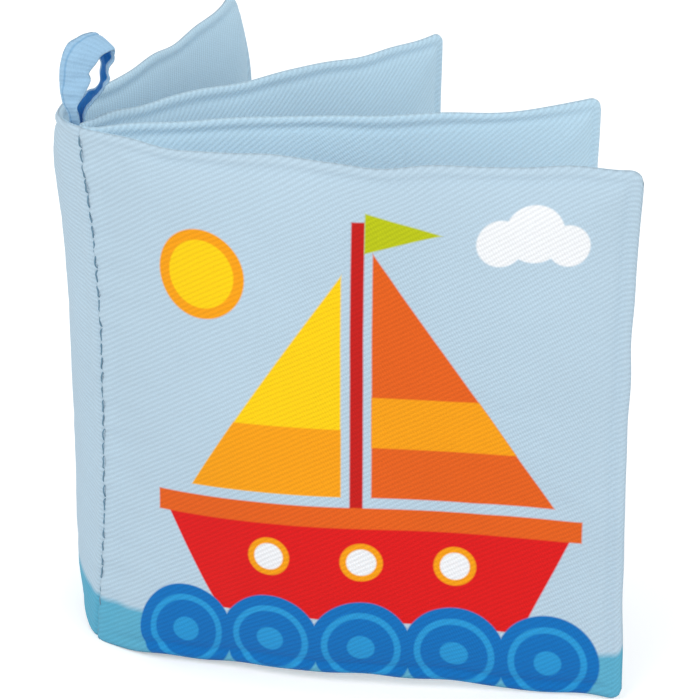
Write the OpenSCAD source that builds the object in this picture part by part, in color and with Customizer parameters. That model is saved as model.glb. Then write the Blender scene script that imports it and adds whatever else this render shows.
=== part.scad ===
// Crinkle book: a padded cloth book for a baby, of two spreads laid together and saddle stitched.
// The cover spread makes the front and back covers, the page spread the two inner leaves.
// Each leaf is two printed twill panels, sewn round the edge and turned, with a sheet of
// wadding and a crinkle film between them. One row of stitches down the fold joins the spreads.
// Millimetres. +Z runs up the spine, the front cover lies along +X and faces -Y.
// The origin is the foot of the stitch row, halfway through the cover's outer cloth.

/* [Leaves] */
// Length of a leaf from its hinge to its fore edge
leaf_w = 118; // [80:1:200]
// Height of a leaf at its fore edge
leaf_h = 120; // [80:1:200]
// Half the thickness of a padded leaf away from its seams
leaf_half_t = 2.3; // [1.6:0.1:4]
// Width of the slope between a seam and the full padding
margin_w = 14; // [8:1:20]
// Width of the flat seam along a leaf's root
root_flat = 3; // [0:0.5:6]
// How far the top and bottom edges pull in at mid length
edge_pull = 2.5; // [0:0.1:6]
// How far the fore edge pulls in at mid height
fore_pull = 1; // [0:0.1:4]
// Radius of the corners at the fore edge
corner_r = 3; // [1:0.1:6]
// How much lower the top edge is at the spine than at the fore edge
root_drop = 2; // [0:0.1:5]

/* [Cloth] */
// Thickness of one printed twill panel
panel_t = 0.45; // [0.3:0.05:0.6]
// Thickness of the creased crinkle film
film_t = 0.15; // [0.1:0.05:0.3]
// Distance from a leaf's edge to the edge of its wadding and film
seam_allowance = 3; // [2:0.5:7]
// Clearance between neighbouring layers of cloth
layer_gap = 0.05; // [0.03:0.01:0.1]
// Clearance between the two spreads at the saddle
leaf_gap = 0.3; // [0.3:0.05:0.8]

/* [Spine] */
// Half the width of the flat saddle that the stitches run along
saddle_half_w = 1.2; // [0.8:0.05:2]
// Clearance between the saddle and the edge of a cover at its hinge
hinge_gap = 0.75; // [0.6:0.05:0.9]
// Half the width of the page spread's flat fold
page_flat = 0.6; // [0.3:0.05:1]
// Direction of the saddle, seen from above
saddle_angle = -34; // [-45:1:-25]

/* [Opening of the book] */
// Direction of the front cover at its hinge
front_root_angle = -25; // [-28:1:-20]
// Direction of the front cover in its middle
front_middle_angle = 1; // [-2:1:4]
// Direction of the front cover at its fore edge
front_fore_angle = 2; // [-5:1:8]
// Radius of the second leaf's bend away from the saddle
second_bend_r = 2; // [1.5:0.25:2.5]
// Direction of the second leaf past its bend
second_root_angle = 45; // [35:1:48]
// Direction of the second leaf in its middle
second_middle_angle = 13; // [12:1:18]
// Direction of the second leaf at its fore edge
second_fore_angle = 40; // [30:1:45]
// Radius of the third leaf's bend away from the saddle
third_bend_r = 2; // [1.5:0.25:2.5]
// Direction of the third leaf past its bend
third_root_angle = 72; // [68:1:75]
// Direction of the third leaf in its middle
third_middle_angle = 47; // [44:1:50]
// Direction of the third leaf at its fore edge
third_fore_angle = 55; // [50:1:60]
// Direction of the back cover at its hinge
back_root_angle = 138; // [134:1:140]
// Direction of the back cover past its bulge
back_bulge_angle = 68; // [66:1:75]
// Direction of the back cover halfway from its bulge to its fore edge
back_middle_angle = 78; // [75:1:82]
// Direction of the back cover at its fore edge
back_fore_angle = 74; // [72:1:90]
// Distance from the hinge at which the back cover's bulge ends
back_bulge_s = 29; // [26:1:34]
// How far the back cover's bottom edge is drawn up beside the saddle
back_lift = 5; // [0:0.5:8]
// How much lower the second leaf's top edge hangs at its fore edge
second_droop = 5; // [0:0.5:7]
// How much lower the third leaf's top edge hangs at its fore edge
third_droop = 3; // [0:0.5:7]

/* [Hanging loop] */
// Width of the folded tape at mid height
tape_w = 6.5; // [5:0.5:12]
// Width of the tape where the seam gathers it
tape_root_w = 3.6; // [3:0.1:3.8]
// Thickness of the folded tape
tape_t = 0.45; // [0.3:0.05:0.6]
// Height of the loop over the top of the spine
loop_h = 21; // [12:1:40]
// Distance from the middle of the loop to each strand where it is widest
loop_reach = 5; // [4:0.5:9]
// How far the top of the loop leans away from its foot
loop_lean = 3; // [0:0.5:6]
// Direction in which the loop opens
loop_angle = 51; // [30:1:70]
// Direction of the tape's width where the seam holds it
loop_root_angle = -104; // [-106:1:-98]
// How far the tape turns about the upright on its way round
loop_twist = 82; // [40:1:90]
// Distance from the middle of the saddle to the middle of the tape, along the saddle
loop_foot_t = 4.9; // [4.8:0.05:5.1]
// Depth of the middle of the tape
loop_foot_depth = 5.5; // [5.3:0.05:5.8]
// Length of tape caught beside the saddle
tape_in = 10; // [5:1:20]

/* [Stitches] */
// Distance from one stitch to the next
stitch_pitch = 3.3; // [2:0.1:5]
// Gap of bare cloth between two stitches
stitch_space = 0.8; // [0.5:0.1:1.5]
// Diameter of the thread
thread_d = 0.5; // [0.3:0.05:0.8]
// Distance from the ends of the spine to the first and last stitch
stitch_inset = 2; // [1:0.5:6]

/* [Hidden] */

$fn = 48;
print_blue = [0.68, 0.83, 0.91];
page_blue = [0.72, 0.86, 0.93];
wadding_white = [0.95, 0.95, 0.93];
film_silver = [0.85, 0.87, 0.88];
tape_blue = [0.45, 0.68, 0.88];
thread_blue = [0.36, 0.52, 0.60];

// The layers at the saddle, from the outside of the spine towards the open side
leaf_seam_half = panel_t + layer_gap;
cover_face = -panel_t / 2;
cover_depth = cover_face + leaf_seam_half;
page_depth = cover_depth + 2 * leaf_seam_half + leaf_gap;
page_face = page_depth + leaf_seam_half;
hinge_t = saddle_half_w + hinge_gap;
spine_h = leaf_h - root_drop;

// Columns and rows of a leaf's mesh: closer together in the margins, even in the middle
column_stops = [0, 0.03, 0.1, 0.22, 0.5, 1];
row_stops = [0, 0.08, 0.22, 0.5, 1];
middle_steps = 4;
bend_steps = 5;
loop_steps = 28;

// Direction and left-hand normal for an angle in plan
function along(a) = [cos(a), sin(a)];
function across(a) = [-sin(a), cos(a)];

// A point beside the saddle, from its distance along it and its depth towards the open side
function saddle_point(t, depth) = t * along(saddle_angle) + depth * across(saddle_angle);

// The end of an arc of length s that starts at p in direction a and turns by k degrees a mm
function arc_end(p, a, k, s) =
    abs(k) < 0.0001
        ? p + s * along(a)
        : p + 180 / (PI * k) * [sin(a + k * s) - sin(a), cos(a) - cos(a + k * s)];
function arc_length(r, a) = r * abs(a) * PI / 180;

// A leaf is its root point, its directions at some distances from the root with an arc between
// each two, the droop of its top edge and the lift of its bottom edge.
front_leaf = [
    saddle_point(hinge_t, cover_face) + leaf_seam_half * across(front_root_angle),
    [[0, front_root_angle], [leaf_w / 2, front_middle_angle], [leaf_w, front_fore_angle]],
    0, 0
];
second_leaf = [
    saddle_point(page_flat, page_depth),
    [
        [0, saddle_angle],
        [arc_length(second_bend_r, second_root_angle - saddle_angle), second_root_angle],
        [leaf_w / 2, second_middle_angle],
        [leaf_w, second_fore_angle]
    ],
    second_droop, 0
];
third_leaf = [
    saddle_point(-page_flat, page_depth),
    [
        [0, saddle_angle + 180],
        [arc_length(third_bend_r, saddle_angle + 180 - third_root_angle), third_root_angle],
        [leaf_w / 2, third_middle_angle],
        [leaf_w, third_fore_angle]
    ],
    third_droop, 0
];
back_leaf = [
    saddle_point(-hinge_t, cover_face) - leaf_seam_half * across(back_root_angle),
    [
        [0, back_root_angle],
        [back_bulge_s, back_bulge_angle],
        [(back_bulge_s + leaf_w) / 2, back_middle_angle],
        [leaf_w, back_fore_angle]
    ],
    0, back_lift
];

function bend_rate(a, b) = (b[1] - a[1]) / (b[0] - a[0]);
function plan_point(p, bends, s, i = 0) =
    let (a = bends[i], b = bends[i + 1])
    i == len(bends) - 2 || s <= b[0]
        ? arc_end(p, a[1], bend_rate(a, b), s - a[0])
        : plan_point(arc_end(p, a[1], bend_rate(a, b), b[0] - a[0]), bends, s, i + 1);
function leaf_point(leaf, s) = plan_point(leaf[0], leaf[1], s);
function leaf_angle(leaf, s) = lookup(s, leaf[1]);

// How far a rounded corner cuts back the top and bottom edges at distance s from the root
function corner_cut(s) =
    let (x = max(0, s - (leaf_w - corner_r)))
    corner_r - sqrt(max(0, corner_r * corner_r - x * x));
function edge_sag(s) = edge_pull * sin(180 * s / leaf_w) + corner_cut(s);
function leaf_foot(leaf, s) =
    edge_sag(s) + leaf[3] * pow(sin(180 * min(1, s / back_bulge_s)), 2);
function leaf_head(leaf, s) =
    leaf_h - edge_sag(s) - root_drop * pow(1 - s / leaf_w, 2) - leaf[2] * pow(s / leaf_w, 1.5);

// Share of the padding that a margin reaches at distance x from a seam
function rise(x) = x <= 0 ? 0 : x >= margin_w ? 1 : 1 - pow(1 - x / margin_w, 2);

// A column of a sheet: plan point, direction, foot, head, share of padding, fore edge pull
function leaf_column(leaf, s) = [
    leaf_point(leaf, s), leaf_angle(leaf, s), leaf_foot(leaf, s), leaf_head(leaf, s),
    rise(min(s - root_flat, leaf_w - s)), fore_pull * pow(s / leaf_w, 3)
];
// The same column of a sheet that runs the other way, from the fore edge to the root
function turned(c) = [c[0], c[1] + 180, c[2], c[3], c[4], -c[5]];

// Distances from the edge of a span, out to its middle and down to its other edge
function stops(span, fractions) = concat(
    [for (f = fractions) f * margin_w],
    [for (i = [1:middle_steps - 1]) margin_w + (span - 2 * margin_w) * i / middle_steps],
    [for (i = [len(fractions) - 1:-1:0]) span - fractions[i] * margin_w]
);
column_places = stops(leaf_w, column_stops);
page_places = concat(
    [for (i = [0:bend_steps - 1]) root_flat * i / bend_steps],
    [for (s = column_places) if (s >= root_flat) s]
);
row_places = [for (z = stops(leaf_h, row_stops)) z / leaf_h];
inner_columns = [
    for (s = column_places)
        if (s >= root_flat + seam_allowance && s <= leaf_w - seam_allowance) s
];
inner_rows = [
    for (v = row_places) if (v * leaf_h >= seam_allowance && (1 - v) * leaf_h >= seam_allowance) v
];

// A leaf's columns in the order that puts its outer cloth on the left-hand side
function front_columns(leaf, places) =
    [for (i = [len(places) - 1:-1:0]) turned(leaf_column(leaf, places[i]))];
function rear_columns(leaf, places) = [for (s = places) leaf_column(leaf, s)];
page_columns = concat(front_columns(second_leaf, page_places), rear_columns(third_leaf, page_places));

// Half thickness of a leaf at a column and a height
function half_t(c, v) =
    let (z = v * leaf_h)
    leaf_seam_half + (leaf_half_t - leaf_seam_half) * c[4] * rise(min(z, leaf_h - z));

// A point of a sheet: from its column, its height share and its offset to the left
function sheet_point(c, v, w) =
    let (p = c[0] + w * across(c[1]) - c[5] * sin(180 * v) * along(c[1]))
    [p.x, p.y, c[2] + v * (c[3] - c[2])];

// A closed sheet over columns and rows. Each face lies at side * (half thickness - depth).
module sheet(columns, rows, left_side, left_depth, right_side, right_depth) {
    n = len(columns);
    m = len(rows);
    left = [
        for (c = columns, v = rows) sheet_point(c, v, left_side * (half_t(c, v) - left_depth))
    ];
    right = [
        for (c = columns, v = rows) sheet_point(c, v, right_side * (half_t(c, v) - right_depth))
    ];
    faces = concat(
        [
            for (i = [0:n - 2], j = [0:m - 2], k = [0, 1])
                let (a = i * m + j, b = a + m)
                k == 0 ? [a, b + 1, a + 1] : [a, b, b + 1]
        ],
        [
            for (i = [0:n - 2], j = [0:m - 2], k = [0, 1])
                let (a = n * m + i * m + j, b = a + m)
                k == 0 ? [a, a + 1, b + 1] : [a, b + 1, b]
        ],
        [
            for (i = [0:n - 2], j = [0, m - 1], k = [0, 1])
                let (a = i * m + j, b = a + m, c = a + n * m, d = b + n * m)
                j == 0 ? (k == 0 ? [a, c, d] : [a, d, b]) : (k == 0 ? [a, d, c] : [a, b, d])
        ],
        [
            for (j = [0:m - 2], i = [0, n - 1], k = [0, 1])
                let (a = i * m + j, b = a + 1, c = a + n * m, d = b + n * m)
                i == 0 ? (k == 0 ? [a, b, d] : [a, d, c]) : (k == 0 ? [a, d, b] : [a, c, d])
        ]
    );
    polyhedron(concat(left, right), faces, convexity = 6);
}

// The layers of a leaf, from its outer cloth to its inner cloth
module outer_panel(columns) {
    sheet(columns, row_places, 1, 0, 1, panel_t);
}
module inner_panel(columns) {
    sheet(columns, row_places, -1, panel_t, -1, 0);
}
module wadding(columns) {
    sheet(columns, inner_rows, 1, panel_t + layer_gap, -1, panel_t + film_t + 2 * layer_gap);
}
module film(columns) {
    sheet(columns, inner_rows, -1, panel_t + film_t + layer_gap, -1, panel_t + layer_gap);
}

// One cloth of the cover spread where the stitches hold it, with its outer face at a depth
module saddle_strip(face) {
    rotate(saddle_angle) translate([-saddle_half_w, face, 0]) cube([2 * saddle_half_w, panel_t, spine_h]);
}
module spine_outer_panel() {
    color(print_blue) saddle_strip(cover_face);
}
module spine_inner_panel() {
    color(page_blue) saddle_strip(cover_face + panel_t + 2 * layer_gap);
}

module page_outer_panel() {
    color(page_blue) outer_panel(page_columns);
}
module page_inner_panel() {
    color(page_blue) inner_panel(page_columns);
}

module second_leaf_wadding() {
    color(wadding_white) wadding(front_columns(second_leaf, inner_columns));
}
module second_leaf_film() {
    color(film_silver) film(front_columns(second_leaf, inner_columns));
}
module third_leaf_wadding() {
    color(wadding_white) wadding(rear_columns(third_leaf, inner_columns));
}
module third_leaf_film() {
    color(film_silver) film(rear_columns(third_leaf, inner_columns));
}

module front_cover_outer_panel() {
    color(print_blue) outer_panel(front_columns(front_leaf, column_places));
}
module front_cover_inner_panel() {
    color(page_blue) inner_panel(front_columns(front_leaf, column_places));
}
module front_cover_wadding() {
    color(wadding_white) wadding(front_columns(front_leaf, inner_columns));
}
module front_cover_film() {
    color(film_silver) film(front_columns(front_leaf, inner_columns));
}
module back_cover_outer_panel() {
    color(print_blue) outer_panel(rear_columns(back_leaf, column_places));
}
module back_cover_inner_panel() {
    color(page_blue) inner_panel(rear_columns(back_leaf, column_places));
}
module back_cover_wadding() {
    color(wadding_white) wadding(rear_columns(back_leaf, inner_columns));
}
module back_cover_film() {
    color(film_silver) film(rear_columns(back_leaf, inner_columns));
}

// The loop's tape, from the end of its near strand over the top to the end of its far strand.
// t runs from 0 to 1 above the spine. Below 0 and above 1 the tape lies beside the saddle.
strand_offset = tape_t / 2 + layer_gap;
loop_foot = saddle_point(-loop_foot_t, loop_foot_depth);
function inside(t) = max(0, min(1, t));
function loop_offset(t) =
    -strand_offset * cos(180 * inside(t)) - loop_reach * sin(360 * inside(t))
    + loop_lean * pow(sin(180 * inside(t)), 2);
function loop_z(t) =
    spine_h + (t < 0 ? t : t > 1 ? 1 - t : 0) * tape_in + loop_h * sin(180 * inside(t));
function loop_turn(t) = loop_root_angle + loop_twist * sin(180 * pow(inside(t), 0.6));
function loop_width(t) = tape_root_w + (tape_w - tape_root_w) * sin(180 * inside(t));
function loop_heading(t) =
    loop_root_angle + 90 + (loop_angle - loop_root_angle - 90) * sin(180 * inside(t));
function unit(v) = v / norm(v);
loop_places = concat([-1], [for (i = [0:loop_steps]) i / loop_steps], [2]);
tangent_step = 0.001;
function loop_centre(t) =
    let (p = loop_foot + loop_offset(t) * along(loop_heading(t)))
    [p.x, p.y, loop_z(t)];
function loop_ring(t) =
    let (
        run = unit(loop_centre(t + tangent_step) - loop_centre(t - tangent_step)),
        width = along(loop_turn(t)),
        side = loop_width(t) / 2 * [width.x, width.y, 0],
        face = tape_t / 2 * unit(cross(run, side)),
        c = loop_centre(t)
    )
    [c - side - face, c + side - face, c + side + face, c - side + face];

module hanging_loop() {
    last = len(loop_places) - 1;
    faces = concat(
        [
            for (i = [0:last - 1], j = [0:3], k = [0, 1])
                let (a = 4 * i + j, b = 4 * i + (j + 1) % 4)
                k == 0 ? [a, a + 4, b + 4] : [a, b + 4, b]
        ],
        [[0, 1, 2], [0, 2, 3], [4 * last + 2, 4 * last + 1, 4 * last], [4 * last + 3, 4 * last + 2, 4 * last]]
    );
    color(tape_blue) polyhedron([for (t = loop_places) each loop_ring(t)], faces, convexity = 4);
}

// A row of stitches: rounded bars, cut flat where they lie on the cloth
stitch_len = stitch_pitch - stitch_space - thread_d;
stitch_count = floor((spine_h - 2 * stitch_inset) / stitch_pitch);
module stitch_row() {
    for (i = [0:stitch_count - 1])
        translate([0, 0, stitch_inset + thread_d / 2 + i * stitch_pitch]) difference() {
            union() {
                cylinder(h = stitch_len, d = thread_d);
                sphere(d = thread_d);
                translate([0, 0, stitch_len]) sphere(d = thread_d);
            }
            translate([-thread_d, 0, -thread_d]) cube([2 * thread_d, thread_d, stitch_pitch + thread_d]);
        }
}
module front_stitches() {
    color(thread_blue) rotate(saddle_angle) translate([0, cover_face, 0]) stitch_row();
}
module back_stitches() {
    color(thread_blue) rotate(saddle_angle) translate([0, page_face, 0]) rotate(180) stitch_row();
}

spine_outer_panel();
spine_inner_panel();
page_outer_panel();
page_inner_panel();
second_leaf_wadding();
second_leaf_film();
third_leaf_wadding();
third_leaf_film();
hanging_loop();
front_stitches();
back_stitches();
front_cover_outer_panel();
front_cover_inner_panel();
front_cover_wadding();
front_cover_film();
back_cover_outer_panel();
back_cover_inner_panel();
back_cover_wadding();
back_cover_film();
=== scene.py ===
"""A padded cloth book, open like a fan. Lengths are in millimetres until a mesh is made.

Every leaf is a sewn pad. It is drawn from its line in plan, the heights of its foot and head
along that line, and the offset of its two faces from the line. part.scad uses the same lines.
"""

import math

import bpy
import numpy as np
from mathutils import Matrix


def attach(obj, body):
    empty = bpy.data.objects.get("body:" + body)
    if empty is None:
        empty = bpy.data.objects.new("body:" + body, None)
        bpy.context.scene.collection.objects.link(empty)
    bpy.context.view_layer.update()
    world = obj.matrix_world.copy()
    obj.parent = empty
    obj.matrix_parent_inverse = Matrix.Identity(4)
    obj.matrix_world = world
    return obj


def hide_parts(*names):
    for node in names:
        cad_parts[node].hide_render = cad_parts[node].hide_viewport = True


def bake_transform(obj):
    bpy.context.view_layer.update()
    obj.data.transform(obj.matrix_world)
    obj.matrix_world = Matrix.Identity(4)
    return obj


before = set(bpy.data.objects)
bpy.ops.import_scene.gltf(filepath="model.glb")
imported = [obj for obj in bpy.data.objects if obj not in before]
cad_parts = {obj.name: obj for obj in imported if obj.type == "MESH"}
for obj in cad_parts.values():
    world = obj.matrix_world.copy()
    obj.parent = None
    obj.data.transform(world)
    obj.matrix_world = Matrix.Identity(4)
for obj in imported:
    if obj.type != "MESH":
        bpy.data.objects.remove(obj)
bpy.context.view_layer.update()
scene = bpy.context.scene
scene.view_settings.view_transform = "Standard"

MM = 0.001

# Leaves, as flat sewn pads
LEAF_W = 118.0
LEAF_H = 120.0
SEAM_HALF = 0.5
PAD_HALF = 2.3
MARGIN = 14.0
ROOT_FLAT = 3.0
SEAM_IN = 3.0
EDGE_PULL = 2.5
CORNER_R = 3.0
LIP = 1.1
LIP_HALF = 0.14

# The turned seam's ridge and the groove beside it: distance from the edge, width and height
SEAM_SHAPE = ((1.2, 0.8, 0.26), (2.8, 0.8, -0.3))

# Saddle: the flat strip under the stitches. Depths are across it, from its middle line
SADDLE_ANGLE = -34.0
COVER_FACE = -0.225
COVER_DEPTH = 0.275
PAGE_DEPTH = 1.575
COVER_ROOT = 1.95
PAGE_ROOT = 0.6
BULGE_S = 29.0

# Stitches
STITCH_PITCH = 3.3
STITCH_COUNT = 35
FIRST_STITCH = 1.3
STITCH_GAP = 0.35
THREAD_R = 0.16

# Hanging loop
TAPE_W = 7.0
TAPE_HALF_T = 0.24

# Camera fitted to the photograph, and the studio's light
PICTURE_PX = 699.0
FOCAL_PX = 3000.0
CAMERA_AT = (142.4, -590.8, 291.6)
CAMERA_YAW, CAMERA_PITCH, CAMERA_ROLL = 8.23, 20.21, 0.37
KEY_W, FILL_W = 2.8, 1.2
WORLD_LEVEL = 0.82
FLOOR_WHITE = 0.3


# Plan lines

def along(degrees):
    """Unit vector of a direction in plan."""
    a = np.radians(degrees)
    return np.stack([np.cos(a), np.sin(a)], -1)


def across(degrees):
    """Unit vector to the left of a direction."""
    a = np.radians(degrees)
    return np.stack([-np.sin(a), np.cos(a)], -1)


def saddle_point(t, depth):
    return t * along(SADDLE_ANGLE) + depth * across(SADDLE_ANGLE)


class Plan:
    """A leaf's line in plan, from the stitch row outwards: directions at distances from it."""

    STEP = 0.05

    def __init__(self, seed, start, root, bends, droop=0.0, lift=0.0, corner=CORNER_R):
        self.seed, self.root, self.corner = seed, root, corner
        self.droop, self.lift = droop, lift
        self.length = root + LEAF_W
        self.places = np.arange(0, self.length + self.STEP, self.STEP)
        at, angles = np.array(bends, float).T
        self.angles = np.interp(self.places, at, angles)
        middle = np.interp(self.places[:-1] + self.STEP / 2, at, angles)
        self.points = np.concatenate([[start], start + np.cumsum(along(middle) * self.STEP, 0)])

    def point(self, s):
        return np.stack([np.interp(s, self.places, self.points[:, k]) for k in (0, 1)], -1)

    def angle(self, s):
        return np.interp(s, self.places, self.angles)


def arc(radius, degrees):
    return radius * math.radians(degrees)


FRONT = Plan(
    1,
    saddle_point(0, COVER_DEPTH),
    COVER_ROOT,
    [(0, -34), (1.2, -34), (2.7, -25), (COVER_ROOT + 59, 1), (COVER_ROOT + 118, 2)],
    droop=1.0,
)
BACK = Plan(
    2,
    saddle_point(0, COVER_DEPTH),
    COVER_ROOT,
    [
        (0, 146), (1.2, 146), (2.7, 138), (COVER_ROOT + BULGE_S, 68),
        (COVER_ROOT + 73.5, 78), (COVER_ROOT + 118, 74),
    ],
    droop=-1.5,
    lift=5.0,
    corner=8.0,
)
SECOND = Plan(
    3,
    saddle_point(0, PAGE_DEPTH),
    PAGE_ROOT,
    [
        (0, -34), (PAGE_ROOT, -34), (PAGE_ROOT + arc(2, 79), 45),
        (PAGE_ROOT + 59, 13), (PAGE_ROOT + 118, 40),
    ],
    droop=5.0,
)
THIRD = Plan(
    4,
    saddle_point(0, PAGE_DEPTH),
    PAGE_ROOT,
    [
        (0, 146), (PAGE_ROOT, 146), (PAGE_ROOT + arc(2, 74), 72),
        (PAGE_ROOT + 59, 47), (PAGE_ROOT + 118, 55),
    ],
    droop=3.0,
)


# Fields over a leaf

def waves(x, y, seed, shortest, longest, count=26):
    """Smooth seeded noise of about unit size, a sum of plane waves."""
    rng = np.random.default_rng(seed)
    total = np.zeros(np.broadcast(x, y).shape)
    for _ in range(count):
        length = rng.uniform(shortest, longest)
        angle, phase = rng.uniform(0, math.tau, 2)
        total += np.sin(math.tau / length * (x * math.cos(angle) + y * math.sin(angle)) + phase)
    return total / math.sqrt(count / 2)


def rise(x):
    """Share of the padding that a margin reaches at distance x from a seam."""
    return 1 - (1 - np.clip(x / MARGIN, 0, 1)) ** 2


def bump_at(x, place, width):
    """1 at a place, falling off smoothly on both sides."""
    return np.exp(-(((x - place) / width) ** 2))


def rounding(x, radius):
    """How far a round corner leaves the straight edge at x."""
    beyond = np.maximum(0, x - (LEAF_W - radius))
    return radius - np.sqrt(np.maximum(0, radius**2 - beyond**2))


def foot(plan, s):
    """Height of a leaf's lower edge. The bulge beside the back cover's root lifts it."""
    x = np.clip(s - plan.root, 0, LEAF_W)
    sag = EDGE_PULL * np.sin(np.pi * x / LEAF_W) + rounding(x, CORNER_R)
    return sag + plan.lift * np.sin(np.pi * np.minimum(1, x / BULGE_S)) ** 2


def head(plan, s):
    """Height of a leaf's upper edge."""
    x = np.clip(s - plan.root, 0, LEAF_W)
    sag = EDGE_PULL * np.sin(np.pi * x / LEAF_W) + rounding(x, plan.corner)
    return LEAF_H - sag - 2 * (1 - x / LEAF_W) ** 2 - plan.droop * (x / LEAF_W) ** 1.5


def pad_half(plan, s, v):
    """Half the thickness of a leaf, with the turned seam's ridge inside its edges."""
    x = np.clip(s - plan.root, 0, LEAF_W)
    edge = np.minimum(np.minimum(v, 1 - v) * LEAF_H, LEAF_W - x)
    half = SEAM_HALF + (PAD_HALF - SEAM_HALF) * rise(x - ROOT_FLAT) * rise(edge)
    from_root = 1 - np.exp(-x / 4)
    seam = sum(high * bump_at(edge, place, width) for place, width, high in SEAM_SHAPE)
    half = half + from_root * seam
    lip = np.sqrt(1 - (1 - np.clip(edge / LIP, 0, 1)) ** 2)
    return np.where(edge < LIP, LIP_HALF + (half - LIP_HALF) * lip, half)


def cubic_weights(u, n):
    """Rows of Catmull-Rom weights that read n even samples at shares u."""
    x = np.clip(u, 0, 1) * (n - 1)
    i = np.clip(np.floor(x).astype(int), 0, n - 2)
    f = x - i
    w = np.zeros((len(u), n))
    terms = [
        -0.5 * f + f**2 - 0.5 * f**3,
        1 - 2.5 * f**2 + 1.5 * f**3,
        0.5 * f + 2 * f**2 - 1.5 * f**3,
        -0.5 * f**2 + 0.5 * f**3,
    ]
    for k, term in enumerate(terms):
        np.add.at(w, (np.arange(len(u)), np.clip(i + k - 1, 0, n - 1)), term)
    return w


# The soft spine bows along X: how far, at even heights from the foot to the head
SPINE_BOW = (1.1, 2.6, 3.3, 3.4, 2.8, 1.5, -0.5)


def spine_bow(z):
    """How far the spine bows at a height."""
    weights = cubic_weights(np.ravel(z) / LEAF_H, len(SPINE_BOW))
    return (weights @ np.array(SPINE_BOW)).reshape(np.shape(z))


# Pads are inflated as cloth, and their wrinkles are laid over the leaves

PAD_GRID = 52


def pad_mesh(count):
    """Flat pads in a row, each two sheets joined all round. 1 unit is 100 mm."""
    rng = np.random.default_rng(7)
    n = PAD_GRID
    verts, faces, roots = [], [], []
    index = np.zeros((count, 2, n, n), int)
    for k in range(count):
        for side in (0, 1):
            for i in range(n):
                for j in range(n):
                    rim = i in (0, n - 1) or j in (0, n - 1)
                    if side and rim:
                        index[k, 1, i, j] = index[k, 0, i, j]
                        continue
                    index[k, side, i, j] = len(verts)
                    up = 0 if rim else (0.006 + 0.004 * rng.random()) * (1 - 2 * side)
                    verts.append((1.5 * k + 1.18 * i / (n - 1), 1.2 * j / (n - 1), up))
                    if i == 0:
                        roots.append(len(verts) - 1)
        for side in (0, 1):
            g = index[k, side]
            for i in range(n - 1):
                for j in range(n - 1):
                    quad = [g[i, j], g[i + 1, j], g[i + 1, j + 1], g[i, j + 1]]
                    faces.append([int(q) for q in (quad if side == 0 else quad[::-1])])
    return verts, faces, roots, index


def simulated_wrinkles(count):
    """The small waves of inflated pads: one field for each face, in millimetres."""
    verts, faces, roots, index = pad_mesh(count)
    mesh = bpy.data.meshes.new("pads")
    mesh.from_pydata(verts, [], faces)
    pads = bpy.data.objects.new("pads", mesh)
    scene.collection.objects.link(pads)
    group = pads.vertex_groups.new(name="sewn")
    group.add(roots, 1.0, "REPLACE")
    cloth = pads.modifiers.new("Cloth", "CLOTH")
    settings = cloth.settings
    settings.quality = 6
    settings.mass = 0.15
    settings.air_damping = 2.0
    settings.tension_stiffness = 20
    settings.compression_stiffness = 20
    settings.shear_stiffness = 6
    settings.bending_stiffness = 0.15
    settings.use_pressure = True
    settings.uniform_pressure_force = 2.5
    settings.shrink_min = -0.03
    settings.vertex_group_mass = group.name
    settings.effector_weights.gravity = 0
    cloth.collision_settings.use_collision = False
    cloth.point_cache.frame_start = 1
    cloth.point_cache.frame_end = 24
    for step in range(1, 25):
        scene.frame_set(step)
    solved = pads.evaluated_get(bpy.context.evaluated_depsgraph_get())
    shape = solved.to_mesh()
    co = np.array([v.co[:] for v in shape.vertices])
    solved.to_mesh_clear()
    bpy.data.objects.remove(pads)
    scene.frame_set(1)
    fields = []
    for k in range(count):
        for side in (0, 1):
            height = co[index[k, side], 2] * (100 if side == 0 else -100)
            fields.append(height - blurred(height, 4))
    scale = 0.24 / np.std(fields)
    return [np.clip(f * scale, -0.45, 0.8) for f in fields]


def blurred(field, passes):
    for _ in range(passes * passes):
        padded = np.pad(field, 1, mode="edge")
        field = (
            padded[:-2, 1:-1] + padded[2:, 1:-1] + padded[1:-1, :-2] + padded[1:-1, 2:]
        ) / 4
    return field


def read_field(field, u, v):
    return cubic_weights(u, PAD_GRID) @ field @ cubic_weights(v, PAD_GRID).T


WRINKLES = simulated_wrinkles(4)


# Meshes

def new_piece(name, verts, faces, uvs, face_slots, materials):
    """A smooth mesh object from vertices in millimetres."""
    mesh = bpy.data.meshes.new(name)
    mesh.from_pydata((np.asarray(verts) * MM).tolist(), [], faces)
    layer = mesh.uv_layers.new(name="cloth")
    corner = np.zeros(len(mesh.loops), int)
    mesh.loops.foreach_get("vertex_index", corner)
    layer.data.foreach_set("uv", np.asarray(uvs)[corner].astype(np.float32).ravel())
    for material in materials:
        mesh.materials.append(material)
    if face_slots is not None:
        mesh.polygons.foreach_set("material_index", np.asarray(face_slots, np.int32))
    mesh.polygons.foreach_set("use_smooth", [True] * len(mesh.polygons))
    mesh.validate()
    mesh.update()
    piece = bpy.data.objects.new(name, mesh)
    scene.collection.objects.link(piece)
    return piece


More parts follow.
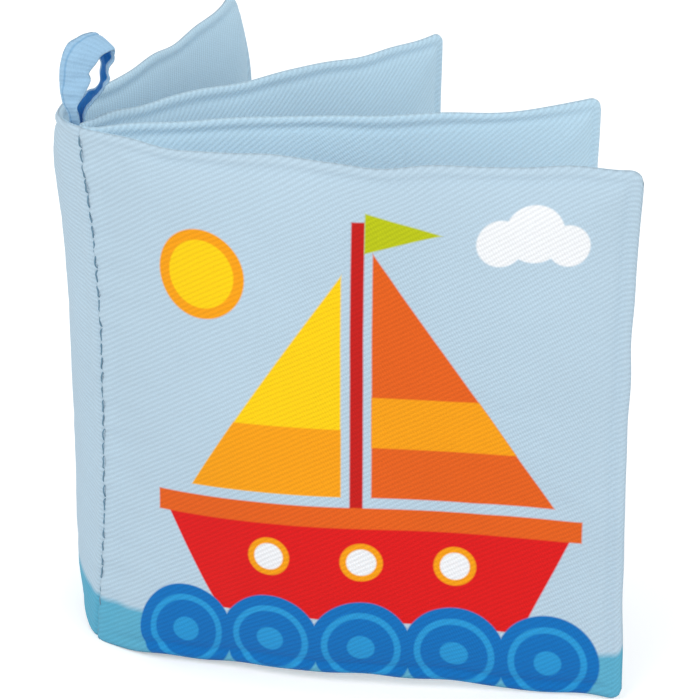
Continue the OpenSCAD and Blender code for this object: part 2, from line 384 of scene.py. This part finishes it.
def leaf_points(plan, s, v, offset):
    """Points of a face: s across columns, v up rows, offset to the left of the plan line."""
    line = plan.point(s)
    angle = plan.angle(s)
    low, high = foot(plan, s), head(plan, s)
    x = np.clip(s - plan.root, 0, LEAF_W)
    z = low[:, None] + v[None, :] * (high - low)[:, None]
    ragged = 0.35 * waves(s[:, None], v[None, :] * LEAF_H, plan.seed, 14, 50)
    z = z + ragged * np.minimum(1, x / 15)[:, None] * np.abs(2 * v - 1)[None, :] ** 3
    pull = (x / LEAF_W)[:, None] ** 3 * (np.sin(np.pi * v)[None, :] + 0.3 * ragged)
    bow = spine_bow(z) * np.exp(-((x / 26) ** 2))[:, None]
    p = line[:, None, :] + offset[..., None] * across(angle)[:, None, :]
    p = p - pull[..., None] * along(angle)[:, None, :]
    return np.stack([p[..., 0] + bow, p[..., 1], z], -1)


def spread(length, fine, coarse, margin):
    """Places from 0 to length, closer together within a margin of both ends."""
    ends = np.arange(0, margin, fine)
    middle = np.linspace(margin, length - margin, int((length - 2 * margin) / coarse) + 1)
    return np.concatenate([ends, middle, length - ends[::-1]])


def bulge(plan, s, v):
    """How far both faces of a leaf bow to the left of its plan line, in soft large folds."""
    x = np.clip(s - plan.root, 0, LEAF_W)[:, None]
    z = v[None, :] * LEAF_H
    soft = np.minimum(1, x / 30)
    out = 0.5 * soft * waves(x, z, 10 + plan.seed, 60, 140, 12)
    if plan is BACK:
        fullness_in = (1.2 + 2.4 * (1 - v[None, :])) * bump_at(x, 20, 17)
        curled_corner = np.clip((x - 92) / 26, 0, 1) ** 2 * np.clip((z - 98) / 22, 0, 1) ** 2
        out = out - fullness_in
        out = out + 4.5 * curled_corner
    if plan is FRONT:
        full_foot = bump_at(x, 13, 10) * np.clip(1 - z / 45, 0, 1) ** 2
        ear = np.clip((x - 100) / 18, 0, 1) ** 2 * np.clip((16 - z) / 16, 0, 1) ** 2
        out = out - 2.0 * full_foot
        out = out - 1.2 * ear
    return out


def pucker(s, v, seed):
    """Short tucks across the stitch row, one for each stitch or so."""
    z = v[None, :] * LEAF_H
    s = s[:, None]
    drift = waves(s, z, seed, 20, 60, 8)
    tucks = np.sin(math.tau * z / STITCH_PITCH + 1.5 * drift) * np.exp(-s / 2.6)
    long_tucks = waves(0.25 * s, z, seed + 1, 4, 9, 14) * np.exp(-s / 8)
    return 0.16 * tucks + 0.13 * long_tucks


def face_offset(plan, s, v, wrinkle, side, seed):
    """Offset of a leaf's left (+1) or right (-1) face from its plan line."""
    x = np.clip(s - plan.root, 0, LEAF_W)
    edge = np.minimum(np.minimum(v, 1 - v)[None, :] * LEAF_H, (LEAF_W - x)[:, None])
    half = pad_half(plan, s[:, None], v[None, :])
    creases = read_field(wrinkle, x / LEAF_W, v) * np.clip(edge / 3, 0, 1)
    creases = creases * np.clip((s - 1)[:, None] / 8, 0, 1)
    tucks = pucker(s, v, seed) * np.clip(edge / 4, 0, 1)
    return bulge(plan, s, v) + side * (half + creases + tucks)


def grid_faces(index, flip):
    """The quads of a grid of vertex numbers, turned over where flip is true."""
    a, b = index[:-1, :-1], index[1:, :-1]
    c, d = index[1:, 1:], index[:-1, 1:]
    quads = np.stack([a, b, c, d] if not flip else [d, c, b, a], -1)
    return quads.reshape(-1, 4)


def rim_of(index):
    """Vertex numbers once round a grid's edge."""
    return np.concatenate([index[:, 0], index[-1, 1:], index[-2::-1, -1], index[0, -2:0:-1]])


def pad_piece(name, left, right, uv, materials):
    """A pad from its two faces: grids of points that share a groove all round the edge."""
    n, m = left.shape[:2]
    count = n * m
    index = np.arange(count).reshape(n, m)
    verts = np.concatenate([left.reshape(-1, 3), right.reshape(-1, 3)])
    uvs = np.concatenate([uv.reshape(-1, 2)] * 2)
    ring = rim_of(index)
    middle = (verts[ring] + verts[ring + count]) / 2
    inward = verts[ring] * 0
    row, column = ring % m, ring // m
    inward[:, 2] = np.where(row == 0, 0.3, np.where(row == m - 1, -0.3, 0))
    towards = left[np.maximum(column - 1, 0), row] - left[column, row]
    fore = column == n - 1
    inward[fore] += 0.3 * towards[fore] / np.maximum(
        np.linalg.norm(towards[fore], axis=1, keepdims=True), 1e-6
    )
    groove = len(verts) + np.arange(len(ring))
    verts = np.concatenate([verts, middle + inward])
    uvs = np.concatenate([uvs, uvs[ring]])
    faces = [grid_faces(index, False), grid_faces(index + count, True)]
    a, b = ring, np.roll(ring, -1)
    g, h = groove, np.roll(groove, -1)
    faces.append(np.stack([b, a, g, h], -1))
    faces.append(np.stack([a + count, b + count, h, g], -1))
    slots = [0] * len(faces[0]) + [1] * len(faces[1]) + [0] * len(faces[2]) + [1] * len(faces[3])
    faces = np.concatenate(faces).tolist()
    return new_piece(name, verts, faces, uvs, slots, materials)


def leaf_uv(s, v):
    """The place on the flat cloth, 100 mm to 1."""
    u, w = np.meshgrid(s, v * LEAF_H, indexing="ij")
    return np.stack([u, w], -1) / 100


ROWS = spread(LEAF_H, 0.5, 0.95, 5) / LEAF_H


def cover(name, plan, wrinkles, materials, outer_left, seed):
    """One cover with its half of the spine, from the stitch row to the fore edge."""
    s = np.concatenate([np.arange(0, 10, 0.5), 10 + spread(plan.length - 10, 0.5, 1.0, 5)])
    uv = leaf_uv(s, ROWS)
    swell = 0.4 * ((1 - np.exp(-((s / 1.5) ** 2))) * np.exp(-s / 12))[:, None]
    left = face_offset(plan, s, ROWS, wrinkles[0], 1, seed) + (swell if outer_left else 0)
    right = face_offset(plan, s, ROWS, wrinkles[1], -1, seed + 5) - (0 if outer_left else swell)
    left, right = leaf_points(plan, s, ROWS, left), leaf_points(plan, s, ROWS, right)
    order = materials if outer_left else materials[::-1]
    return pad_piece(name, left, right, uv, order)


def page_spread(name, wrinkles, materials):
    """The two inner leaves as one spread, folded along the stitch row."""
    s = np.concatenate([np.arange(0.25, 10, 0.5), 10 + spread(SECOND.length - 10, 0.6, 1.1, 5)])
    second = [
        leaf_points(SECOND, s, ROWS, face_offset(SECOND, s, ROWS, wrinkles[k], side, 50 + k))
        for k, side in ((0, -1), (1, 1))
    ]
    third = [
        leaf_points(THIRD, s, ROWS, face_offset(THIRD, s, ROWS, wrinkles[2 + k], side, 60 + k))
        for k, side in ((0, 1), (1, -1))
    ]
    outer = np.concatenate([second[0][::-1], third[0]])
    inner = np.concatenate([second[1][::-1], third[1]])
    flat = np.concatenate([-s[::-1], s])
    uv = leaf_uv(flat, ROWS)
    return pad_piece(name, outer, inner, uv, materials)


def inner_layer(name, plan, low, high, material, seed, crease):
    """A wadding or film inside a leaf, between two shares of the padding's thickness."""
    first = 14 if plan is BACK else 6  # the tape's ends lie beside the back cover's root
    s = plan.root + np.linspace(first, LEAF_W - SEAM_IN, 44)
    v = np.linspace(SEAM_IN, LEAF_H - SEAM_IN, 44) / LEAF_H
    half = np.maximum(pad_half(plan, s[:, None], v[None, :]) - 0.75, 0.08)
    fold = crease * waves(s[:, None], v[None, :] * LEAF_H, seed, 5, 14)
    centre = bulge(plan, s, v) + fold * np.minimum(1, half / 1.5)
    left = leaf_points(plan, s, v, centre + high * half)
    right = leaf_points(plan, s, v, centre + low * half)
    uv = leaf_uv(s, v)
    return pad_piece(name, left, right, uv, [material, material])


# Materials are numbers over the cloth, in millimetres, kept as node sockets

class Field:
    """A number that varies over a surface. Arithmetic on it adds nodes."""

    def __init__(self, tree, socket):
        self.tree, self.socket = tree, socket

    def math(self, operation, *others, clamp=False):
        node = self.tree.nodes.new("ShaderNodeMath")
        node.operation = operation
        node.use_clamp = clamp
        for place, value in enumerate((self, *others)):
            if isinstance(value, Field):
                self.tree.links.new(value.socket, node.inputs[place])
            else:
                node.inputs[place].default_value = value
        return Field(self.tree, node.outputs[0])

    def __add__(self, other):
        return self.math("ADD", other)

    def __sub__(self, other):
        return self.math("SUBTRACT", other)

    def __mul__(self, other):
        return self.math("MULTIPLY", other)

    def maximum(self, other):
        return self.math("MAXIMUM", other)

    def sine(self):
        return self.math("SINE")

    def within(self, low, high):
        """0 at low, 1 at high and a straight ramp between."""
        return self.math("MULTIPLY_ADD", 1 / (high - low), -low / (high - low), clamp=True)


class Cloth:
    """The nodes of one printed cloth."""

    def __init__(self, name):
        self.material = bpy.data.materials.new(name)
        self.material.use_nodes = True
        self.tree = self.material.node_tree
        self.tree.nodes.clear()
        place = self.tree.nodes.new("ShaderNodeUVMap")
        place.uv_map = "cloth"
        scale = self.tree.nodes.new("ShaderNodeVectorMath")
        scale.operation = "SCALE"
        scale.inputs["Scale"].default_value = 100
        self.tree.links.new(place.outputs[0], scale.inputs[0])
        self.point = scale.outputs[0]
        parts = self.tree.nodes.new("ShaderNodeSeparateXYZ")
        self.tree.links.new(self.point, parts.inputs[0])
        self.x, self.y = Field(self.tree, parts.outputs[0]), Field(self.tree, parts.outputs[1])
        self.colour = None

    def vector(self, operation, value, output):
        node = self.tree.nodes.new("ShaderNodeVectorMath")
        node.operation = operation
        self.tree.links.new(self.point, node.inputs[0])
        node.inputs[1].default_value = (*value, 0)
        return Field(self.tree, node.outputs[output])

    def noise(self, per_mm, detail=2.0, rough=0.5):
        node = self.tree.nodes.new("ShaderNodeTexNoise")
        node.inputs["Scale"].default_value = per_mm
        node.inputs["Detail"].default_value = detail
        node.inputs["Roughness"].default_value = rough
        self.tree.links.new(self.point, node.inputs["Vector"])
        return Field(self.tree, node.outputs[0])

    def dye(self, colour):
        """The plain colour of the whole cloth."""
        node = self.tree.nodes.new("ShaderNodeRGB")
        node.outputs[0].default_value = (*colour, 1)
        self.colour = node.outputs[0]

    def shade(self, factor):
        """Multiplies the colour by a number."""
        node = self.tree.nodes.new("ShaderNodeVectorMath")
        node.operation = "SCALE"
        self.tree.links.new(self.colour, node.inputs[0])
        self.tree.links.new(factor.socket, node.inputs["Scale"])
        self.colour = node.outputs[0]

    def disc(self, x, y, r):
        return self.vector("DISTANCE", (x, y), "Value") - r

    def box(self, x0, y0, x1, y1):
        wide = (self.x - (x0 + x1) / 2).math("ABSOLUTE") - (x1 - x0) / 2
        tall = (self.y - (y0 + y1) / 2).math("ABSOLUTE") - (y1 - y0) / 2
        return wide.maximum(tall)

    def convex(self, *points):
        """A convex shape, its corners counterclockwise."""
        field = None
        for (x0, y0), (x1, y1) in zip(points, points[1:] + points[:1]):
            length = math.hypot(x1 - x0, y1 - y0)
            n = ((y1 - y0) / length, (x0 - x1) / length)
            side = self.vector("DOT_PRODUCT", n, "Value") - (n[0] * x0 + n[1] * y0)
            field = side if field is None else field.maximum(side)
        return field

    def scallops(self, x, pitch, count, y, r):
        """A row of discs, the first one at x."""
        place = ((self.x - x) * (1 / pitch)).math("ROUND").maximum(0).math("MINIMUM", count - 1)
        beside = self.x - x - place * pitch
        return (beside * beside + (self.y - y) * (self.y - y)).math("SQRT") - r

    def lay(self, shape, colour, soft=0.22):
        """Prints a shape, slightly soft at its edge as ink on twill is."""
        node = self.tree.nodes.new("ShaderNodeMix")
        node.data_type = "RGBA"
        self.tree.links.new(shape.within(soft, -soft).socket, node.inputs["Factor"])
        self.tree.links.new(self.colour, node.inputs[6])
        node.inputs[7].default_value = (*colour, 1)
        self.colour = node.outputs[2]


def rgb(r, g, b):
    def linear(c):
        c = c / 255
        return c / 12.92 if c <= 0.04045 else ((c + 0.055) / 1.055) ** 2.4

    return tuple(linear(c) for c in (r, g, b))


GROUND = rgb(184, 208, 224)
# The inner faces' paler ground, made lighter still as painted light against the shade between the
# leaves
PAGE_GROUND_AND_PAINTED_LIGHT = rgb(190, 221, 239)
SEA = rgb(92, 174, 204)
RED = rgb(222, 16, 18)
DEEP_RED = rgb(196, 20, 16)
ORANGE = rgb(228, 96, 20)
AMBER = rgb(246, 160, 6)
YELLOW = rgb(252, 208, 0)
LIME = rgb(186, 196, 8)
GREEN = rgb(96, 152, 40)
BLUE = rgb(0, 112, 188)
LIGHT_BLUE = rgb(36, 152, 214)
WHITE = rgb(240, 243, 246)


def sea(c):
    """The band along the foot of every printed face."""
    c.lay(c.box(-200, -20, 200, 10.6), SEA, 0.8)


def boat(c):
    sea(c)
    c.lay(c.disc(29, 93, 10), AMBER)
    c.lay(c.disc(29, 93, 7.6), YELLOW)
    c.lay(c.box(61.4, 36, 64.2, 108), DEEP_RED)
    c.lay(c.convex((66, 44), (105, 44), (66, 101)), ORANGE)
    c.lay(c.convex((66, 56), (96.8, 56), (88.6, 68), (66, 68)), AMBER)
    c.lay(c.convex((59.5, 44), (59.5, 96), (26, 44)), YELLOW)
    c.lay(c.convex((59.5, 44), (59.5, 60), (36.3, 60), (26, 44)), AMBER)
    c.lay(c.convex((64.2, 101), (80, 105.5), (64.2, 110)), LIME)
    c.lay(c.convex((32, 14), (98, 14), (110, 40), (18, 40)), RED)
    c.lay(c.box(17, 36.5, 111, 41.5), ORANGE)
    for x in (44, 64, 84):
        c.lay(c.disc(x, 28.5, 4.6), AMBER)
        c.lay(c.disc(x, 28.5, 3.2), WHITE)
    for x, y, r in ((92, 104, 5), (99, 106, 6.2), (106, 103.5, 4.4)):
        c.lay(c.disc(x, y, r), WHITE)
    for r, ink in ((11.2, BLUE), (8.6, LIGHT_BLUE), (7.2, BLUE), (3.0, LIGHT_BLUE)):
        c.lay(c.scallops(24, 20, 5, 7.5, r), ink)


def ball(c):
    sea(c)
    c.lay(c.disc(66, 46, 30), RED)
    c.lay(c.disc(66, 46, 24), YELLOW)
    c.lay(c.disc(66, 46, 17), BLUE)
    c.lay(c.disc(66, 46, 9), WHITE)


def fish(c):
    sea(c)
    c.lay(c.convex((88, 58), (108, 44), (108, 72)), RED)
    c.lay(c.disc(62, 58, 29), ORANGE)
    c.lay(c.disc(58, 58, 21), AMBER)
    c.lay(c.disc(44, 64, 4.4), WHITE)
    c.lay(c.disc(44, 64, 2.2), BLUE)
    for x, y, r in ((24, 88, 4), (30, 98, 3), (22, 104, 2)):
        c.lay(c.disc(x, y, r), LIGHT_BLUE)


def flower(x):
    def draw(c):
        sea(c)
        c.lay(c.box(x - 1.5, 10, x + 1.5, 56), GREEN)
        c.lay(c.disc(x - 8, 30, 7), LIME)
        c.lay(c.disc(x + 8, 36, 7), LIME)
        for k in range(6):
            a = math.tau * k / 6
            c.lay(c.disc(x + 13 * math.cos(a), 66 + 13 * math.sin(a), 8.5), RED)
        c.lay(c.disc(x, 66, 9), YELLOW)

    return draw


def kite(x):
    def draw(c):
        sea(c)
        c.lay(c.convex((x, 24), (x + 24, 62), (x, 90), (x - 24, 62)), ORANGE)
        c.lay(c.convex((x, 24), (x + 24, 62), (x, 62)), YELLOW)
        c.lay(c.convex((x, 62), (x, 90), (x - 24, 62)), LIME)

    return draw


def reeds(c):
    sea(c)
    for x, top in ((34, 78), (39, 104), (44, 88)):
        c.lay(c.convex((x - 2.5, 10), (x + 2.5, 10), (x, top)), GREEN)
    c.lay(c.disc(78, 52, 17), AMBER)
    c.lay(c.disc(78, 52, 12), RED)


def both(left, right):
    """Two designs on one cloth, on either side of the fold."""

    def draw(c):
        left(c)
        right(c)

    return draw


RIB_PITCH = 1.02
YARN_PITCH = 0.55


def printed_cloth(name, ground, design, slope, tone=0.14):
    """Cotton twill: ribs that climb at a slope in degrees, with the print darker between them."""
    c = Cloth(name)
    c.dye(ground)
    design(c)
    patches = c.noise(0.035, 3.0)
    wander = c.noise(0.06, 2.0) * 5.0 + c.noise(1.1, 1.0) * 0.9
    a = math.radians(slope)
    ribs = (c.y * math.cos(a) - c.x * math.sin(a)) * (math.tau / RIB_PITCH) + wander
    rib = ribs.sine() * 0.5 + 0.5
    crossing = (c.x * math.cos(a) + c.y * math.sin(a)) * (math.tau / YARN_PITCH) + wander
    yarns = crossing.sine()
    fleck = c.noise(2.6, 3.0, 0.65)
    ink = fleck.within(0.25, 0.75) * 0.14 + 0.95
    c.shade(rib * (yarns * 0.2 + 0.8) * tone + (1 - tone))
    c.shade(ink)
    c.shade(patches * 0.1 + 0.95)
    height = rib + yarns * 0.16 + fleck * 0.5
    bump = c.tree.nodes.new("ShaderNodeBump")
    bump.inputs["Strength"].default_value = 0.55
    bump.inputs["Distance"].default_value = 0.00011
    c.tree.links.new(height.socket, bump.inputs["Height"])
    return finish_material(c, bump, roughness=0.88, sheen=0.06)


def finish_material(c, bump, roughness, sheen, metallic=0.0):
    shader = c.tree.nodes.new("ShaderNodeBsdfPrincipled")
    shader.inputs["Roughness"].default_value = roughness
    shader.inputs["Specular IOR Level"].default_value = 0.25
    shader.inputs["Sheen Weight"].default_value = sheen
    shader.inputs["Metallic"].default_value = metallic
    c.tree.links.new(c.colour, shader.inputs["Base Color"])
    c.tree.links.new(bump.outputs[0], shader.inputs["Normal"])
    output = c.tree.nodes.new("ShaderNodeOutputMaterial")
    c.tree.links.new(shader.outputs[0], output.inputs[0])
    return c.material


def fibre(name, colour, per_mm, roughness=0.95, sheen=0.3, depth=0.0002):
    """Loose fibres or twisted thread: a mottled colour over a fine uneven surface."""
    c = Cloth(name)
    n = c.noise(per_mm, 4.0, 0.6)
    c.dye(colour)
    c.shade(n * 0.5 + 0.75)
    bump = c.tree.nodes.new("ShaderNodeBump")
    bump.inputs["Strength"].default_value = 0.6
    bump.inputs["Distance"].default_value = depth
    c.tree.links.new(n.socket, bump.inputs["Height"])
    return finish_material(c, bump, roughness, sheen)


cover_outer = printed_cloth("front_print", GROUND, boat, 29)
cover_inner = printed_cloth("front_lining_print", PAGE_GROUND_AND_PAINTED_LIGHT, fish, 22)
back_outer = printed_cloth("back_print", GROUND, ball, 8)
back_inner = printed_cloth("back_lining_print", PAGE_GROUND_AND_PAINTED_LIGHT, reeds, 66)
page_outer = printed_cloth("page_print", PAGE_GROUND_AND_PAINTED_LIGHT, both(kite(-64), flower(62)), -36)
page_inner = printed_cloth("page_lining_print", PAGE_GROUND_AND_PAINTED_LIGHT, both(flower(-60), kite(66)), 38)
wadding = fibre("wadding", rgb(240, 240, 236), 1.4)
film = fibre("crinkle_film", rgb(214, 220, 224), 0.25, roughness=0.3, sheen=0.0)
thread = fibre("thread", rgb(104, 140, 162), 3.0, roughness=0.7, sheen=0.1, depth=0.0001)


# The leaves

front_cover = cover("front_cover", FRONT, (WRINKLES[1], WRINKLES[0]), [cover_outer, cover_inner],
                    False, 20)
back_cover = cover("back_cover", BACK, (WRINKLES[2], WRINKLES[3]), [back_outer, back_inner],
                   True, 24)
pages = page_spread("page_spread", WRINKLES[4:8], [page_outer, page_inner])


def reach(plan, t, length):
    """A point beside the saddle and one further along a leaf, in metres."""
    a = plan.point(t)
    b = a + length * along(plan.angle(3.0))
    return (*(a * MM), 0), (*(b * MM), 0)


start, end = reach(FRONT, 0.6, 6.0)
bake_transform(front_cover)
start, end = reach(BACK, 0.6, 6.0)
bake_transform(back_cover)
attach(pages, "spine")
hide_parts("front_cover_outer_panel", "front_cover_inner_panel")
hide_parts("back_cover_outer_panel", "back_cover_inner_panel",
            "spine_outer_panel", "spine_inner_panel")
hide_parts("page_outer_panel", "page_inner_panel")

LAYERS = (
    ("front_cover", FRONT, "front_cover", "front_cover"),
    ("back_cover", BACK, "back_cover", "back_cover"),
    ("second_leaf", SECOND, "spine", "second_leaf"),
    ("third_leaf", THIRD, "spine", "third_leaf"),
)
for number, (label, plan, body, node) in enumerate(LAYERS):
    pad = inner_layer(label + "_pad", plan, -0.7, 1.0, wadding, 70 + number, 0.03)
    sheet = inner_layer(label + "_crinkle", plan, -1.0, -0.85, film, 80 + number, 0.05)
    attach(pad, body)
    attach(sheet, body)
    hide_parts(node + "_wadding")
    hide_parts(node + "_film")


# The stitches

def stitch_row(name, depth, outward, seed):
    """Thread that shows in short arcs and dives into the cloth between them.

    The row lies at a depth across the saddle, and outward is 1 or -1 along that depth.
    """
    steps, sides = 12, 8
    verts, faces, uvs = [], [], []
    for k in range(STITCH_COUNT):
        bottom = FIRST_STITCH + k * STITCH_PITCH
        first = len(verts)
        for i in range(steps + 1):
            share = i / steps
            z = bottom + share * (STITCH_PITCH - STITCH_GAP)
            sway = 0.22 * float(waves(0.0, z, seed, 16, 70, 9)) + 0.12 * math.sin(2.4 * z)
            lie = 0.16 - 0.5 * (2 * share - 1) ** 6
            centre = saddle_point(sway, depth + outward * lie)
            for j in range(sides):
                a = math.tau * j / sides
                p = centre + THREAD_R * math.cos(a) * along(SADDLE_ANGLE)
                p = p + THREAD_R * math.sin(a) * across(SADDLE_ANGLE)
                verts.append((p[0] + spine_bow(z), p[1], z))
                uvs.append((share * 0.03 + k * 0.033, a / 100))
        for i in range(steps):
            for j in range(sides):
                a, b = first + i * sides + j, first + i * sides + (j + 1) % sides
                faces.append((a, b, b + sides, a + sides))
        faces.append(tuple(first + j for j in range(sides))[::-1])
        faces.append(tuple(first + steps * sides + j for j in range(sides)))
    return new_piece(name, verts, faces, uvs, None, [thread])


for label, depth, outward in (("front", COVER_FACE, -1), ("back", PAGE_DEPTH + SEAM_HALF, 1)):
    row = stitch_row(label + "_thread", depth, outward, 90 if outward < 0 else 91)
    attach(row, "spine")
    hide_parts(label + "_stitches")


# The hanging loop: a folded strip of the same printed cloth, light outside, with painted shade in
# blue inside

# The tape's edges where the photograph shows them, read one by one: pixels x and y of the left
# edge and of the right edge, the depth of the tape's middle behind the stitch row, and the depth
# of the left edge beyond that, in millimetres
TAPE_IN_PHOTO = (
    (63, 101, 77, 106, 5.8, 1.2),
    (59.5, 86, 83, 95, 5.3, 1.0),
    (59.5, 74, 90, 81, 5.2, 0.7),
    (61.5, 60, 89, 72, 5.3, 0.6),
    (66, 48, 97, 62, 5.8, 0.7),
    (76, 40, 101, 55, 6.6, 1.0),
    (87, 35, 109, 51, 7.6, 1.4),
    (95, 34, 115, 49.5, 8.7, 1.9),
    (99, 44, 114, 57, 9.8, 2.3),
    (99.3, 57, 111, 68, 10.5, 2.6),
    (101.6, 68, 109.5, 79.5, 10.8, 2.8),
    (100.4, 81.8, 106, 88.6, 10.6, 2.9),
    (94.7, 89.8, 99.3, 95, 10.0, 2.8),
    (83, 97, 91, 103, 9.3, 2.6),
    (76, 107, 86, 113, 8.7, 2.2),
    (79, 118, 84.5, 122, 8.3, 1.8),
)
# Its two ends where they are caught between the spreads: the left edge, then the right edge
NEAR_END = ((-3.6, 7.0, 109.0, -1.0, 5.0, 109.0), (-4.2, 7.1, 118.0, -1.6, 4.9, 118.0))
FAR_END = ((-2.7, 9.8, 109.0, -0.7, 6.4, 109.0),)


def camera_axes():
    """Forward, right and up of the photograph's camera."""
    yaw, pitch, roll = (math.radians(a) for a in (CAMERA_YAW, CAMERA_PITCH, CAMERA_ROLL))
    forward = np.array([
        -math.sin(yaw) * math.cos(pitch), math.cos(yaw) * math.cos(pitch), -math.sin(pitch)
    ])
    right = np.array([math.cos(yaw), math.sin(yaw), 0])
    up = np.cross(right, forward)
    right, up = (
        math.cos(roll) * right + math.sin(roll) * up,
        math.cos(roll) * up - math.sin(roll) * right,
    )
    return forward, right, up


def photo_point(x, y, depth):
    """What shows at a pixel of the photograph, at a depth behind the stitch row."""
    forward, right, up = camera_axes()
    ray = forward + ((x - PICTURE_PX / 2) * right - (y - PICTURE_PX / 2) * up) / FOCAL_PX
    deep = np.append(across(CAMERA_YAW), 0)
    at = np.array(CAMERA_AT)
    return at + (depth - at @ deep) / (ray @ deep) * ray


def tape_stations():
    """Places along the tape's two edges, to a tenth of a millimetre."""
    seen = [
        np.concatenate([photo_point(x0, y0, depth + turn), photo_point(x1, y1, depth - turn)])
        for x0, y0, x1, y1, depth, turn in TAPE_IN_PHOTO
    ]
    return np.concatenate([NEAR_END, np.round(seen, 1), FAR_END])


def tape_loop(name, materials):
    """The tape, crumpled and hemmed, with its inner face's material first."""
    stations = tape_stations()
    path = cubic_weights(np.linspace(0, 1, 150), len(stations)) @ stations
    edge_a, edge_b = path[:, :3], path[:, 3:]
    w = np.linspace(0, 1, 15)
    centre = edge_a[:, None, :] * (1 - w)[None, :, None] + edge_b[:, None, :] * w[None, :, None]
    run = np.gradient((edge_a + edge_b) / 2, axis=0)
    normal = np.cross(run, edge_b - edge_a)
    normal /= np.linalg.norm(normal, axis=1, keepdims=True)
    step = np.linalg.norm(run, axis=1)
    length = np.cumsum(step)
    beside = w[None, :] * TAPE_W
    crumple = 0.16 * waves(0.35 * beside, length[:, None], 5, 1.6, 4.5, 20)
    sway = 0.28 * waves(beside, length[:, None], 6, 9, 22, 12)
    free = np.clip((length - 11) / 4, 0, 1) * np.clip((length[-1] - 11 - length) / 4, 0, 1)
    centre = centre + ((crumple + sway) * free[:, None])[..., None] * normal[:, None, :]
    hem = 0.2 * bump_at(w, 0.1, 0.06) - 0.12 * bump_at(w, 0.2, 0.04)
    round_edge = np.sqrt(1 - (1 - np.clip(np.minimum(w, 1 - w) / 0.07, 0, 1)) ** 2)
    half = (TAPE_HALF_T + hem) * round_edge + 0.04
    inner = centre + half[None, :, None] * normal[:, None, :]
    outer = centre - half[None, :, None] * normal[:, None, :]
    uv = np.stack(np.broadcast_arrays(beside, length[:, None]), -1) / 100
    return pad_piece(name, inner, outer, uv, materials)


def tape_outside(c):
    """The hem's line near one edge."""
    c.lay(c.box(1.25, -100, 1.45, 500), rgb(110, 160, 200), 0.25)


def tape_inside_painted_shade(c):
    """Painted shade: blue between two hems, on the loop's inner face."""
    c.lay(c.box(1.2, -100, 5.9, 500), BLUE, 0.2)


# The same light tape twice: the copy for the inner face carries painted shade in blue
tape_light = printed_cloth("tape_outside", rgb(154, 192, 221), tape_outside, 8, 0.08)
tape_painted_shade = printed_cloth("tape_inside_painted_shade", rgb(154, 192, 221), tape_inside_painted_shade, 24, 0.08)
loop = tape_loop("tape_loop", [tape_painted_shade, tape_light])
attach(loop, "spine")
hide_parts("hanging_loop")


# Camera, light and floor

def place_camera():
    """The photograph's view: 20 degrees down on the front cover, from far off."""
    forward, right, up = camera_axes()
    data = bpy.data.cameras.new("camera")
    data.sensor_width = 36
    data.lens = FOCAL_PX * data.sensor_width / PICTURE_PX
    data.clip_start, data.clip_end = 0.05, 20
    camera = bpy.data.objects.new("camera", data)
    turn = Matrix([right, up, -forward]).transposed().to_4x4()
    turn.translation = np.array(CAMERA_AT) * MM
    camera.matrix_world = turn
    scene.collection.objects.link(camera)
    scene.camera = camera


def area_light(name, at, aim, size, power):
    """A soft round light of a power in watts that faces a point. Places are in metres."""
    data = bpy.data.lights.new(name, "AREA")
    data.shape, data.size, data.energy = "DISK", size, power
    light = bpy.data.objects.new(name, data)
    towards = np.array(aim) - np.array(at)
    forward = towards / np.linalg.norm(towards)
    right = np.cross(forward, (0, 0, 1))
    right /= np.linalg.norm(right)
    up = np.cross(right, forward)
    turn = Matrix([right, up, -forward]).transposed().to_4x4()
    turn.translation = at
    light.matrix_world = turn
    scene.collection.objects.link(light)


def plain_world():
    """An even light, and pure white where the camera, a gloss or a clear piece shows it."""
    world = bpy.data.worlds.new("studio")
    scene.world = world
    world.use_nodes = True
    tree = world.node_tree
    tree.nodes.clear()
    path = tree.nodes.new("ShaderNodeLightPath")
    seen = Field(tree, path.outputs["Is Camera Ray"])
    seen = seen.maximum(Field(tree, path.outputs["Is Glossy Ray"]))
    seen = seen.maximum(Field(tree, path.outputs["Is Transmission Ray"]))
    strength = seen * (1 - WORLD_LEVEL) + WORLD_LEVEL
    background = tree.nodes.new("ShaderNodeBackground")
    background.inputs["Color"].default_value = (1, 1, 1, 1)
    tree.links.new(strength.socket, background.inputs["Strength"])
    output = tree.nodes.new("ShaderNodeOutputWorld")
    tree.links.new(background.outputs[0], output.inputs[0])


def studio_floor():
    """A pale floor that the camera sees as white outside the shadow."""
    size = 3.0
    mesh = bpy.data.meshes.new("floor")
    corners = [(-size, -size, 0), (size, -size, 0), (size, size, 0), (-size, size, 0)]
    mesh.from_pydata(corners, [], [(0, 1, 2, 3)])
    floor = bpy.data.objects.new("floor", mesh)
    scene.collection.objects.link(floor)
    material = bpy.data.materials.new("floor")
    material.use_nodes = True
    shader = material.node_tree.nodes["Principled BSDF"]
    shader.inputs["Base Color"].default_value = (0.93, 0.93, 0.93, 1)
    shader.inputs["Roughness"].default_value = 0.9
    shader.inputs["Emission Color"].default_value = (1, 1, 1, 1)
    path = material.node_tree.nodes.new("ShaderNodeLightPath")
    white = Field(material.node_tree, path.outputs["Is Camera Ray"]) * FLOOR_WHITE
    material.node_tree.links.new(white.socket, shader.inputs["Emission Strength"])
    mesh.materials.append(material)


place_camera()
area_light("key", (-0.35, -0.65, 0.75), (0.05, 0.03, 0.06), 0.7, KEY_W)
area_light("fill", (0.75, -0.45, 0.5), (0.05, 0.03, 0.06), 0.6, FILL_W)
plain_world()
studio_floor()
